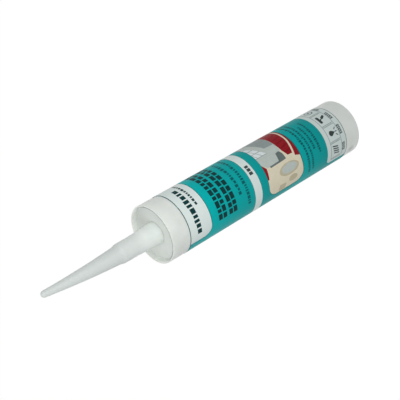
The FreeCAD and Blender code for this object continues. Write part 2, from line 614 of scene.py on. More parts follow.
@dataclass(frozen=True)
class Panel:
    """An upright rectangle of the print, with a rounding for its front and rear corners."""

    low: float
    high: float
    front: float
    rear: float
    front_rounding: float = 0.0
    rear_rounding: float = 0.0

    def outline(self) -> Outline:
        """Follow the panel's edge.

        Returns:
            Points as (around, back), in millimetres.
        """
        corners = [(self.low, self.front, self.front_rounding, 1, 1, 180),
                   (self.high, self.front, self.front_rounding, -1, 1, 270),
                   (self.high, self.rear, self.rear_rounding, -1, -1, 0),
                   (self.low, self.rear, self.rear_rounding, 1, -1, 90)]
        points: Outline = []
        for around, back, rounding, inward, rearward, start in corners:
            centre = (around + inward * rounding, back + rearward * rounding)
            steps = CORNER_STEPS if rounding else 0
            for step in range(steps + 1):
                turn = math.radians(start + 90 * step / max(steps, 1))
                points.append((centre[0] + rounding * math.cos(turn),
                               centre[1] + rounding * math.sin(turn)))
        return points


def ring_faces(outer: Outline, inner: Outline) -> list[Outline]:
    """Fill the band between two outlines that have the same number of points.

    Args:
        outer: The outer outline.
        inner: The inner outline.

    Returns:
        One four-sided face for each side.
    """
    count = len(outer)
    return [[outer[i], outer[(i + 1) % count], inner[(i + 1) % count], inner[i]]
            for i in range(count)]


def disc(around: float, back: float, radius: float, length: float = 1.0) -> Outline:
    """Outline of a disc or, with a length other than 1, of an oval that reaches along the barrel.

    Args:
        around: Place of its middle, round the barrel.
        back: Place of its middle, behind the front rim.
        radius: Half of its width round the barrel.
        length: Its length along the barrel, as a share of that width.

    Returns:
        Points of its edge.
    """
    turns = [2 * math.pi * step / DISC_POINTS for step in range(DISC_POINTS)]
    return [(around + radius * math.cos(turn), back + length * radius * math.sin(turn))
            for turn in turns]


def stroke(start: Point, end: Point, width: float) -> Outline:
    """Outline of a straight stroke.

    Args:
        start: Middle of one end, as (around, back).
        end: Middle of the other end.
        width: Width of the stroke.

    Returns:
        Its four corners.
    """
    along = Vector(end) - Vector(start)
    side = Vector((-along.y, along.x)).normalized() * width / 2
    corners = [Vector(start) + side, Vector(start) - side, Vector(end) - side, Vector(end) + side]
    return [(corner.x, corner.y) for corner in corners]


def clipped(outline: Outline, window: Outline) -> Outline:
    """Cut an outline down to what lies inside a convex window.

    Args:
        outline: The outline to cut.
        window: The window's edge, with no dents.

    Returns:
        The part of the outline inside the window.
    """
    turning = sum(a[0] * b[1] - b[0] * a[1] for a, b in zip(window, window[1:] + window[:1]))
    kept = [Vector(point) for point in outline]
    for start, end in zip(window, window[1:] + window[:1]):
        edge = Vector(end) - Vector(start)
        if edge.length < MERGE_M:
            continue
        inward = Vector((-edge.y, edge.x)) * math.copysign(1, turning)
        depths = [(point - Vector(start)).dot(inward) for point in kept]
        passed: list[Vector] = []
        for index, point in enumerate(kept):
            before, depth_before, depth = kept[index - 1], depths[index - 1], depths[index]
            if (depth >= 0) != (depth_before >= 0):
                share = depth_before / (depth_before - depth)
                passed.append(before.lerp(point, share))
            if depth >= 0:
                passed.append(point)
        kept = passed
    return [(point.x, point.y) for point in kept]


def flat_sheet(name: str, faces: list[Outline]) -> bpy.types.Mesh:
    """Lay outlines flat, facing -Y, in strips narrow enough to bend round the barrel.

    Args:
        name: Name of the mesh.
        faces: Outlines as (around, back), in millimetres.

    Returns:
        The flat mesh, with its distance around the barrel along X and its height along Z.
    """
    sheet = bmesh.new()
    for outline in faces:
        corners = [sheet.verts.new((around * MM, 0, (BARREL_LENGTH_MM - back) * MM))
                   for around, back in outline]
        sheet.faces.new(corners)
    bmesh.ops.remove_doubles(sheet, verts=sheet.verts[:], dist=MERGE_M)
    sheet.normal_update()
    for face in sheet.faces:
        if face.normal.y > 0:
            face.normal_flip()
    reach = [around for outline in faces for around, _ in outline]
    first, last = math.floor(min(reach) / STRIP_MM), math.ceil(max(reach) / STRIP_MM)
    for station in range(first, last + 1):
        everything = sheet.verts[:] + sheet.edges[:] + sheet.faces[:]
        bmesh.ops.bisect_plane(sheet, geom=everything, dist=MERGE_M,
                               plane_co=(station * STRIP_MM * MM, 0, 0), plane_no=(1, 0, 0))
    mesh = bpy.data.meshes.new(name)
    sheet.to_mesh(mesh)
    sheet.free()
    return mesh


@dataclass(frozen=True)
class Rows:
    """Rows of plain blocks, which stand where a label has its print."""

    start: float          # around, where each row begins
    back: float           # behind the front rim, front edge of the first row
    length: float
    height: float
    shortest: float
    longest: float
    gap: float
    seed: int
    rows: int = 1
    pitch: float = 2.6
    lowest: float = 1.0   # share of the height that the lowest block has


@dataclass
class BarrelPrint:
    """Puts flat print on the barrel: it is given its thickness, wrapped and laid over the seam."""

    surface_mm: float = 25.18        # outside of the film
    embed_mm: float = 0.004          # how far print reaches into what it lies on
    step_mm: float = 0.02            # from one layer of print to the next
    seam_start_mm: float = 71.5      # where the film begins to rise over its own end
    seam_length_mm: float = 3.3
    seam_rise_mm: float = 0.125
    seam_end_mm: float = 82.5        # where the upper end of the film stops
    hidden_mm: float = -74.6         # the film's lower end is covered up to here

    # Inputs that the wrapping tree and both print trees have
    shared: tuple[str, ...] = ("Base radius", "Thickness", "Arc radius", "Seam start",
                               "Seam length", "Seam rise")

    def __post_init__(self) -> None:
        """Build the trees that all the print shares."""
        self.wrap = self.wrap_tree()
        self.sheet_tree = self.flat_print_tree()
        self.row_tree = self.block_row_tree()

    def wrap_tree(self) -> bpy.types.NodeTree:
        """Build the tree that thickens a flat sheet and bends it round the barrel.

        Returns:
            The node group, which the two print trees use.
        """
        t = Tree("wrap_round_barrel", dict.fromkeys(self.shared, "Float"))
        flat, start = t.given["Geometry"], t.given["Seam start"]
        raised = t.add("ExtrudeMesh", {"Mesh": flat, "Offset Scale": t.given["Thickness"],
                                       "Individual": False}, mode="FACES")
        both = add_node(t.tree, "GeometryNodeJoinGeometry", {"Geometry": raised["Mesh"]})
        t.tree.links.new(t.add("FlipFaces", {"Mesh": flat})["Mesh"], both.inputs["Geometry"])
        closed = t.add("MergeByDistance", {"Geometry": both.outputs["Geometry"], "Distance": 1e-6})
        broad = add_node(t.tree, "FunctionNodeBooleanMath", {0: raised["Side"]}, operation="NOT")
        smooth = t.add("SetShadeSmooth", {"Geometry": closed["Geometry"],
                                          "Selection": broad.outputs["Boolean"]})
        creased = t.add("SetShadeSmooth", {"Geometry": smooth["Geometry"],
                                           "Selection": raised["Side"], "Shade Smooth": False},
                        domain="EDGE")
        axes = add_node(t.tree, "ShaderNodeSeparateXYZ",
                        {"Vector": t.add("InputPosition")["Position"]}).outputs
        over_end = t.mapped(axes["X"], start, t.math("ADD", start, t.given["Seam length"]),
                            last=t.given["Seam rise"], interpolation_type="SMOOTHSTEP")
        level = t.math("SUBTRACT", t.given["Base radius"], axes["Y"])
        radius = t.math("ADD", level, over_end)
        angle = t.math("DIVIDE", axes["X"], t.given["Arc radius"])
        towards_x = t.math("MULTIPLY", radius, t.math("SINE", angle))
        towards_y = t.math("MULTIPLY", t.math("MULTIPLY", radius, t.math("COSINE", angle)), -1.0)
        wrapped = t.add("SetPosition", {"Geometry": creased["Geometry"],
                                        "Position": t.point(towards_x, towards_y, axes["Z"])})
        return t.give(wrapped["Geometry"])

    def print_tree(self, name: str, inputs: dict[str, str]) -> Tree:
        """Start a print tree that has its own inputs and the ones that all print shares."""
        return Tree(name, inputs | dict.fromkeys(self.shared, "Float") | {"Ink": "Material"})

    def wrapped(self, t: Tree, flat: Socket) -> bpy.types.NodeTree:
        """End a print tree: wrap its sheet, realize it and give it its ink.

        Args:
            t: The tree under construction.
            flat: The flat sheet's socket.

        Returns:
            The finished tree.
        """
        bend = add_node(t.tree, "GeometryNodeGroup", node_tree=self.wrap)
        t.tree.links.new(flat, bend.inputs["Geometry"])
        for label in self.shared:
            t.tree.links.new(t.given[label], bend.inputs[label])
        return t.finish(bend.outputs["Geometry"], t.given["Ink"])

    def flat_print_tree(self) -> bpy.types.NodeTree:
        """Build the tree for print that is drawn as a flat mesh."""
        t = self.print_tree("flat_print", {})
        return self.wrapped(t, t.given["Geometry"])

    def block_row_tree(self) -> bpy.types.NodeTree:
        """Build the tree for rows of blocks of random lengths.

        Returns:
            The finished tree.
        """
        t = self.print_tree("block_rows", dict.fromkeys(
            ("Start", "Foot", "Pitch", "Row length", "Height", "Shortest", "Longest", "Gap",
             "Lowest share"), "Float") | dict.fromkeys(
                 ("Rows", "Blocks a row", "Strips", "Seed"), "Int"))
        given = t.given
        spots = t.add("Points", {"Count": t.math("MULTIPLY", given["Rows"],
                                                 given["Blocks a row"])})
        row = t.math("FLOOR", t.math("DIVIDE", t.add("InputIndex")["Index"],
                                     given["Blocks a row"]))
        own = t.random(given["Shortest"], given["Longest"], given["Seed"])
        so_far = t.add("AccumulateField", {"Value": t.math("ADD", own, given["Gap"]),
                                           "Group ID": row}, data_type="FLOAT")
        points = spots["Points"]
        for name, value in (("block_length", own), ("block_start", so_far["Trailing"])):
            points = t.add("StoreNamedAttribute", {"Geometry": points, "Name": name,
                                                   "Value": value}, data_type="FLOAT")["Geometry"]
        block_length, block_start = (
            t.add("InputNamedAttribute", {"Name": name}, data_type="FLOAT")["Attribute"]
            for name in ("block_length", "block_start"))
        middle = t.math("ADD", t.math("ADD", given["Start"], block_start),
                        t.math("MULTIPLY", block_length, 0.5))
        height = t.math("SUBTRACT", given["Foot"], t.math("MULTIPLY", row, given["Pitch"]))
        placed = t.add("SetPosition", {"Geometry": points,
                                       "Position": t.point(x=middle, z=height)})
        past_end = add_node(t.tree, "FunctionNodeCompare",
                            {0: t.math("ADD", block_start, block_length), 1: given["Row length"]},
                            data_type="FLOAT", operation="GREATER_THAN")
        fitting = t.add("DeleteGeometry", {"Geometry": placed["Geometry"],
                                           "Selection": past_end.outputs["Result"]},
                        domain="POINT")
        tallness = t.random(given["Lowest share"], 1.0, t.math("ADD", given["Seed"], 1.0))
        tile = t.add("MeshGrid", {"Size X": 1.0, "Size Y": 1.0, "Vertices X": given["Strips"],
                                  "Vertices Y": 2})
        upright = t.add("Transform", {"Geometry": tile["Mesh"], "Translation": (0, 0, 0.5),
                                      "Rotation": (math.radians(90), 0, 0)})
        size = t.point(block_length, 1.0, t.math("MULTIPLY", given["Height"], tallness))
        blocks = t.add("InstanceOnPoints", {"Points": fitting["Geometry"],
                                            "Instance": upright["Geometry"], "Scale": size})
        flat = t.add("RealizeInstances", {"Geometry": blocks["Instances"]})["Geometry"]
        for name in ("block_length", "block_start"):
            flat = t.add("RemoveAttribute", {"Geometry": flat, "Name": name})["Geometry"]
        return self.wrapped(t, flat)

    def place(self, layer: int, ink: bpy.types.Material) -> dict[str, object]:
        """Give the inputs for one layer of print.

        Args:
            layer: 0 for print on the bare film, 1 for print on layer 0, and so on.
            ink: The ink's material.

        Returns:
            The shared inputs' values, by name.
        """
        return {"Base radius": (self.surface_mm - self.embed_mm) * MM,
                "Thickness": (self.embed_mm + (layer + 1) * self.step_mm) * MM,
                **self.bend(), "Ink": ink}

    def bend(self) -> dict[str, object]:
        """Give the inputs that the film and its print share."""
        return {"Arc radius": BARREL_RADIUS_MM * MM, "Seam start": self.seam_start_mm * MM,
                "Seam length": self.seam_length_mm * MM, "Seam rise": self.seam_rise_mm * MM}

    def shapes(self, name: str, faces: list[Outline], layer: int,
               ink: bpy.types.Material) -> bpy.types.Mesh:
        """Print drawn outlines on the barrel and return their mesh."""
        return grown(name, self.sheet_tree, self.place(layer, ink), flat_sheet(name, faces))

    def rows(self, name: str, rows: Rows, layer: int, ink: bpy.types.Material) -> bpy.types.Mesh:
        """Print rows of blocks on the barrel.

        Args:
            name: Name of the mesh.
            rows: The rows' sizes, in millimetres.
            layer: The layer of print.
            ink: The ink's material.

        Returns:
            The wrapped mesh.
        """
        most = math.ceil((rows.length + rows.gap) / (rows.shortest + rows.gap))
        foot_of_first = BARREL_LENGTH_MM - rows.back - rows.height
        return grown(name, self.row_tree, {
            "Rows": rows.rows, "Blocks a row": most, "Start": rows.start * MM,
            "Foot": foot_of_first * MM, "Pitch": rows.pitch * MM,
            "Row length": rows.length * MM, "Height": rows.height * MM,
            "Shortest": rows.shortest * MM, "Longest": rows.longest * MM, "Gap": rows.gap * MM,
            "Lowest share": rows.lowest, "Strips": math.ceil(rows.longest / STRIP_MM) + 1,
            "Seed": rows.seed, **self.place(layer, ink)})

    def band(self, front: float, rear: float) -> Panel:
        """Give a panel that goes once round the barrel."""
        return Panel(self.hidden_mm, self.seam_end_mm, front, rear)

    def piece(self, name: str, meshes: list[bpy.types.Mesh],
              ink: bpy.types.Material) -> bpy.types.Object:
        """Join print to one piece, which rides on the cartridge as the label does."""
        return make_piece(name, meshes, ink, "cartridge")


@dataclass
class LabelFilm:
    """The teal film, wound once round the barrel with its end glued over its start."""

    front: float = 17.3
    rear: float = 203.7
    inner_radius: float = 25.06

    def build(self, barrel: BarrelPrint) -> bpy.types.Object:
        """Build the film and put it in the place of the plain label.

        Args:
            barrel: The trees that wrap a sheet round the barrel.

        Returns:
            The film's piece.
        """
        ink = Ink.TEAL.value.material()
        faces = [Panel(-barrel.seam_end_mm, barrel.seam_end_mm, self.front, self.rear).outline()]
        film = grown("film", barrel.sheet_tree,
                     {"Base radius": self.inner_radius * MM,
                      "Thickness": (barrel.surface_mm - self.inner_radius) * MM,
                      **barrel.bend(), "Ink": ink}, flat_sheet("film", faces))
        piece = barrel.piece("label_film", [film], ink)
        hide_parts("label")
        return piece


@dataclass
class FieldPrint:
    """White panels, block rows and edge lines of the label."""

    low: float = -26.0        # lower edge of the front face of the label
    high: float = 44.0
    panel_front: float = 17.7
    panel_rear: float = 40.2
    panel_rounding: float = 8.0
    stripe_front: float = 89.4
    stripe_rear: float = 97.5
    stripe_rim: float = 0.3
    symbols_low: float = -28.4
    symbols_high: float = 46.4
    symbols_front: float = 178.6
    symbols_rear: float = 203.2
    symbols_rounding: float = 4.5
    date_box: Panel = Panel(50.0, 69.0, 152.0, 171.0, 1.5, 1.5)
    ends: Span = (17.32, 203.66)   # front and rear end of the print
    front_line: float = 0.6
    # painted highlight: a break in the dark front line where a highlight lies
    front_line_highlight_gap: Span = (8.2, 9.5)
    rear_line: float = 0.4
    cut_edge: float = 0.25
    panel_rim: float = 0.6    # deeper ground along the edge of the front panel
    picture_rim: float = 0.8
    rim_in_front: float = 0.3   # the widest that it is in front of a panel

    def head(self) -> Panel:
        """Give the white panel at the front of the label."""
        return Panel(self.low, self.high, self.panel_front, self.panel_rear,
                     rear_rounding=self.panel_rounding)

    def white_faces(self, barrel: BarrelPrint) -> list[Outline]:
        """Draw the white panels and the stripe.

        Args:
            barrel: Where the seam lies.

        Returns:
            Their outlines.
        """
        stripe = barrel.band(self.stripe_front, self.stripe_rear)
        symbols = Panel(self.symbols_low, self.symbols_high, self.symbols_front,
                        self.symbols_rear, front_rounding=self.symbols_rounding)
        return [panel.outline() for panel in (self.head(), stripe, symbols, self.date_box)]

    def front_line_faces(self, barrel: BarrelPrint) -> list[Outline]:
        """Draw the dark line along the film's front end, with its small gap, which is a painted highlight.

        Args:
            barrel: Where the seam lies.

        Returns:
            Its outlines.
        """
        reaches = zip((barrel.hidden_mm, self.front_line_highlight_gap[1]),
                      (self.front_line_highlight_gap[0], barrel.seam_end_mm))
        return [Panel(low, high, self.ends[0], self.ends[0] + self.front_line).outline()
                for low, high in reaches]

    def rear_line_faces(self, barrel: BarrelPrint) -> list[Outline]:
        """Draw the fine line along the film's rear end."""
        return [barrel.band(self.ends[1] - self.rear_line, self.ends[1]).outline()]

    def rim_faces(self, barrel: BarrelPrint, picture: Panel) -> list[Outline]:
        """Draw the deeper ground along the edges of the panels and the stripe.

        Args:
            barrel: Where the seam lies.
            picture: The picture's window.

        Returns:
            Their outlines.
        """
        faces: list[Outline] = []
        for panel, rim in ((self.head(), self.panel_rim), (picture, self.picture_rim)):
            outer = Panel(panel.low - rim, panel.high + rim,
                          panel.front - min(rim, self.rim_in_front), panel.rear + rim,
                          panel.front_rounding + rim if panel.front_rounding else 0.0,
                          panel.rear_rounding + rim)
            faces += ring_faces(outer.outline(), panel.outline())
        for front in (self.stripe_front - self.stripe_rim, self.stripe_rear):
            faces.append(barrel.band(front, front + self.stripe_rim).outline())
        return faces

    def dark_rows(self) -> list[Rows]:
        """Lay out the bold rows on the front face, each of two courses like brickwork."""
        return [Rows(-18.5, 48.2, 57.0, 3.9, 2.4, 6.2, 1.2, seed=4, rows=2, pitch=4.9),
                Rows(-18.5, 59.6, 57.0, 3.9, 2.4, 6.2, 1.2, seed=11, rows=2, pitch=4.9)]

    def head_rows(self) -> list[Rows]:
        """Lay out the plain rows on the white front panel."""
        return [Rows(-19.0, 24.2, 46.0, 5.2, 2.2, 4.6, 1.2, seed=7, lowest=0.75),
                Rows(3.0, 32.0, 30.0, 2.4, 1.2, 3.0, 0.8, seed=21, lowest=0.75)]

    def small_rows(self) -> list[Rows]:
        """Lay out the small rows on the teal ground of the front face.

        Returns:
            The rows.
        """
        return [Rows(-7.7, 73.0, 38.0, 3.4, 1.1, 2.8, 0.8, seed=3, lowest=0.6),
                Rows(-19.3, 80.5, 53.0, 3.4, 1.1, 2.8, 0.8, seed=9, lowest=0.6),
                Rows(-24.3, 153.2, 61.0, 2.9, 0.9, 2.3, 0.6, seed=15, lowest=0.6),
                Rows(-22.7, 157.9, 57.0, 2.9, 0.9, 2.3, 0.6, seed=17, lowest=0.6),
                Rows(-6.0, 162.9, 25.0, 2.9, 0.9, 2.3, 0.6, seed=19, lowest=0.6),
                Rows(-11.0, 168.2, 34.0, 2.9, 0.9, 2.3, 0.6, seed=23, lowest=0.6)]

    def film_edge(self, barrel: BarrelPrint) -> list[Outline]:
        """Draw the film's pale cut edge, where its upper end stops."""
        inner = barrel.seam_end_mm - self.cut_edge
        return [Panel(inner, barrel.seam_end_mm, *self.ends).outline()]

    def rear_rows(self) -> list[Rows]:
        """Lay out the fine rows on the side that the photograph doesn't show.

        Returns:
            The rows.
        """
        return [Rows(50.0, 46.0, 19.0, 1.0, 1.6, 5.2, 0.9, seed=31, rows=14, pitch=2.7),
                Rows(-71.0, 46.0, 34.0, 1.0, 1.6, 6.4, 0.9, seed=32, rows=14, pitch=2.7),
                Rows(50.0, 109.0, 19.0, 1.0, 1.6, 5.2, 0.9, seed=33, rows=14, pitch=2.7),
                Rows(-71.0, 109.0, 34.0, 1.0, 1.6, 6.4, 0.9, seed=34, rows=22, pitch=2.7)]

    def build(self, barrel: BarrelPrint) -> None:
        """Print the panels, the rows and the lines.

        Args:
            barrel: The trees that wrap print round the barrel.
        """
        white = Ink.WHITE.value.material()
        panels = barrel.shapes("panels", self.white_faces(barrel), 0, white)
        barrel.piece("print_white", [panels], white)

        black = Ink.BLACK.value.material()
        bold = [barrel.rows("bold", rows, 0, black) for rows in self.dark_rows()]
        bold += [barrel.rows("head", rows, 1, black) for rows in self.head_rows()]
        barrel.piece("print_black", bold, black)

        deep = Ink.DEEP_TEAL.value.material()
        small = [barrel.rows("small", rows, 0, deep) for rows in self.small_rows()]
        rims = self.rim_faces(barrel, PicturePrint().window)
        small.append(barrel.shapes("rims", rims, 0, deep))
        barrel.piece("print_deep_teal", small, deep)

        pale = Ink.PALE.value.material()
        fine = [barrel.rows("fine", rows, 0, pale) for rows in self.rear_rows()]
        fine.append(barrel.shapes("film_edge", self.film_edge(barrel), 2, pale))
        barrel.piece("print_pale", fine, pale)


@dataclass
class PicturePrint:
    """The picture panel: a plain washroom in flat areas, with tiles, a curtain and a basin."""

    window: Panel = Panel(-26.0, 44.0, 105.9, 147.2, 9.5, 9.5)
    tile_corner: Point = (11.0, 118.7)   # rear corner of the block of tiles
    tile_slant: float = -0.68            # how much a row comes forward on its way round
    tile_size: float = 4.6
    tile_joint: float = 0.6
    tile_columns: int = 6
    tile_rows: int = 3
    fold_pitch: float = 5.0
    fold_width: float = 0.9
    folds_drawn: int = 7

    def cut(self, shapes: list[Outline]) -> list[Outline]:
        """Cut shapes down to the picture's window."""
        edge = self.window.outline()
        return [part for part in (clipped(shape, edge) for shape in shapes) if len(part) > 2]

    def wall(self) -> list[Outline]:
        """Draw the pale grey wall."""
        return [[(4.5, 105.0), (46.0, 105.0), (46.0, 132.0), (8.0, 132.0), (0.0, 126.0),
                 (-0.6, 111.0)]]

    def upper_wall(self) -> list[Outline]:
        """Draw the darker part of the wall above the tiles, and the joints between them.

        Returns:
            Its outlines.
        """
        (low, rear), step = self.tile_corner, self.tile_size + self.tile_joint
        high, depth = low + self.tile_columns * step, self.tile_rows * step
        fall = self.tile_slant * (high - low)
        return [[(16.0, 121.0), (46.0, 108.0), (46.0, 131.5), (15.5, 131.0)],
                [(low - 0.5, rear + 0.4), (low - 0.5, rear - depth), (high, rear + fall - depth),
                 (high, rear + fall + 0.4)]]

    def tiles(self) -> list[Outline]:
        """Draw the white tiles in their slanting rows.

        Returns:
            Their outlines.
        """
        tiles: list[Outline] = []
        step = self.tile_size + self.tile_joint
        for row in range(self.tile_rows):
            for column in range(self.tile_columns):
                low = self.tile_corner[0] + column * step
                high = low + self.tile_size
                rear_low = self.tile_corner[1] + self.tile_slant * column * step - row * step
                rear_high = rear_low + self.tile_slant * self.tile_size
                tiles.append([(low, rear_low - self.tile_size), (low, rear_low),
                              (high, rear_high), (high, rear_high - self.tile_size)])
        return tiles

    def curtain(self) -> list[Outline]:
        """Draw the curtain, which hangs on both sides of a pale rail, and a red mat.

        Returns:
            Their outlines.
        """
        return [[(46.0, 131.5), (15.5, 131.5), (6.5, 132.8), (0.9, 135.5), (0.6, 140.8),
                 (13.1, 143.9), (24.0, 144.6), (46.0, 144.6)],
                [(46.0, 146.2), (24.0, 146.2), (12.0, 145.4), (-2.2, 142.2), (-4.5, 149.0),
                 (46.0, 149.0)],
                [(5.0, 105.0), (-0.4, 109.2), (-9.6, 107.4), (-9.6, 105.0)]]

    def folds(self) -> list[Outline]:
        """Draw the shadows in the curtain's folds.

        Returns:
            Their outlines.
        """
        return [stroke((3.5 + self.fold_pitch * fold, 134.6 - 0.25 * fold),
                       (5.0 + self.fold_pitch * fold, 140.8 + 0.3 * fold), self.fold_width)
                for fold in range(self.folds_drawn)]

    def towel(self) -> list[Outline]:
        """Draw the dark towels that hang beside the wall.

        Returns:
            Their outlines.
        """
        return [[(7.6, 129.6), (6.9, 125.4), (0.2, 124.2), (-1.2, 128.0), (-0.9, 132.2),
                 (4.4, 131.6)],
                [(0.2, 124.2), (-0.2, 113.4), (-1.7, 113.4), (-1.2, 128.0)]]

    def basin(self) -> list[Outline]:
        """Draw the outside of the basin and two cloths beside it."""
        return [disc(-9.4, 131.5, 5.3, 2.2), disc(-19.0, 134.5, 3.0, 1.7),
                [(-19.6, 118.5), (-20.2, 126.2), (-25.4, 124.6), (-25.2, 117.0)]]

    def bowl(self) -> list[Outline]:
        """Draw the inside of the basin."""
        return [disc(-9.0, 131.8, 3.9, 2.3)]

    def build(self, barrel: BarrelPrint) -> None:
        """Print the picture in its inks.

        Args:
            barrel: The trees that wrap print round the barrel.
        """
        layers = [(Ink.CREAM, 0, [self.window.outline()])]
        layers += [(ink, layer, self.cut(shapes)) for ink, layer, shapes in (
            (Ink.GREY, 1, self.wall()), (Ink.RED, 1, self.curtain()), (Ink.SAND, 1, self.basin()),
            (Ink.SLATE, 2, self.upper_wall()), (Ink.DEEP_RED, 2, self.folds()),
            (Ink.SHADE, 2, self.towel()), (Ink.TILE, 3, self.tiles()),
            (Ink.GREY, 2, self.bowl()))]
        meshes: dict[Ink, list[bpy.types.Mesh]] = {}
        materials = {ink: ink.value.material() for ink, _, _ in layers}
        for ink, layer, faces in layers:
            mesh = barrel.shapes(ink.name.lower(), faces, layer, materials[ink])
            meshes.setdefault(ink, []).append(mesh)
        for ink, parts in meshes.items():
            barrel.piece("picture_" + ink.name.lower(), parts, materials[ink])


@dataclass
class SymbolPrint:
    """Four ruled frames with plain symbols on the rear white panel."""

    front: float = 183.4
    rear: float = 197.2
    first: float = -25.2
    width: float = 15.45
    frames: int = 4
    line: float = 0.45
    side_line: float = 0.36
    side_reach: float = 0.75   # from the middle of a pair of lines to each of them
    side_gap: float = 0.5      # between a long rule and a pair of lines
    rung_pitch: float = 1.3

    def middle(self, number: int) -> Point:
        """Middle of a frame, counted from the lowest."""
        return (self.first + (number + 0.5) * self.width, (self.front + self.rear) / 2)

    def rule_faces(self) -> list[Outline]:
        """Draw the frames' edges: two long rules and a pair of lines between frames.

        Returns:
            Their outlines.
        """
        high = self.first + self.frames * self.width
        faces = [Panel(self.first, high, back - self.line / 2, back + self.line / 2).outline()
                 for back in (self.front, self.rear)]
        for number in range(self.frames + 1):
            for side in (-self.side_reach, self.side_reach):
                around = self.first + number * self.width + side
                faces.append(Panel(around - self.side_line / 2, around + self.side_line / 2,
                                   self.front + self.side_gap,
                                   self.rear - self.side_gap).outline())
        return faces

    def ladders(self) -> list[Rows]:
        """Lay out the short rungs between the pairs of lines.

        Returns:
            The rows.
        """
        rungs = int((self.rear - self.front - 2 * self.side_gap) / self.rung_pitch)
        return [Rows(self.first + number * self.width - 0.56, self.front + 0.9, 1.13, 0.42, 1.1,
                     1.1001, 0.02, seed=1, rows=rungs, pitch=self.rung_pitch)
                for number in range(self.frames + 1)]

    def drop(self) -> list[Outline]:
        """Draw a drop and three short rays.

        Returns:
            Their outlines.
        """
        around, back = self.middle(1)
        tear = disc(around, back - 1.8, 2.4)
        tip = [(around - 2.0, back - 0.5), (around + 2.0, back - 0.5), (around, back + 2.9)]
        rays = [stroke((around + turn * 2.0, back + 3.1), (around + turn * 3.8, back + 5.2), 0.8)
                for turn in (-1, 0, 1)]
        return [tear, tip, *rays]

    def trowel(self) -> list[Outline]:
        """Draw a flat blade with its handle.

        Returns:
            Its outlines.
        """
        around, back = self.middle(2)
        blade = Panel(around - 4.2, around + 4.2, back - 4.6, back - 1.7, 1.3, 1.3).outline()
        neck = stroke((around - 0.4, back - 1.9), (around + 0.6, back + 1.0), 1.0)
        handle = [(around - 0.7, back + 1.0), (around + 1.8, back + 0.2),
                  (around + 3.6, back + 4.0), (around + 2.9, back + 4.9),
                  (around + 1.6, back + 4.8)]
        return [blade, neck, handle]

    def sheet_mark(self) -> list[Outline]:
        """Draw a slanted plate of four bars.

        Returns:
            Its outlines.
        """
        around, back = self.middle(0)
        return [stroke((around - 4.0 + 2.2 * bar, back + 3.4 - 0.5 * bar),
                       (around - 2.2 + 2.2 * bar, back - 3.4 - 0.5 * bar), 1.1)
                for bar in range(4)]

    def ring_mark(self) -> list[Outline]:
        """Draw a ring with a dot in it.

        Returns:
            Its outlines.
        """
        around, back = self.middle(3)
        return ring_faces(disc(around, back, 3.9), disc(around, back, 3.1)) + [
            disc(around, back, 1.2)]

    def build(self, barrel: BarrelPrint) -> None:
        """Print the frames, the symbols and the short rows beside them.

        Args:
            barrel: The trees that wrap print round the barrel.
        """
        grey = Ink.LINE_GREY.value.material()
        ruled = [barrel.shapes("rules", self.rule_faces(), 1, grey)]
        ruled += [barrel.rows("rungs", rows, 1, grey) for rows in self.ladders()]
        barrel.piece("print_line_grey", ruled, grey)

        dark = Ink.SYMBOL_GREY.value.material()
        drawn = [barrel.shapes("symbol", faces, 1, dark)
                 for faces in (self.drop(), self.trowel(), self.sheet_mark(), self.ring_mark())]
        notes = [Rows(self.middle(number)[0] - 4.2, 197.8, 9.0, 1.3, 0.9, 1.9, 0.35,
                      seed=40 + number, rows=2, pitch=1.7)
                 for number in range(self.frames)]
        notes.append(Rows(1.5, 91.6, 10.2, 3.6, 2.2, 3.0, 0.7, seed=51))
        drawn += [barrel.rows("note", rows, 1, dark) for rows in notes]
        drawn.append(barrel.shapes("front_line", FieldPrint().front_line_faces(barrel), 1, dark))
        drawn.append(barrel.shapes("rear_line", FieldPrint().rear_line_faces(barrel), 0, dark))
        barrel.piece("print_symbol_grey", drawn, dark)


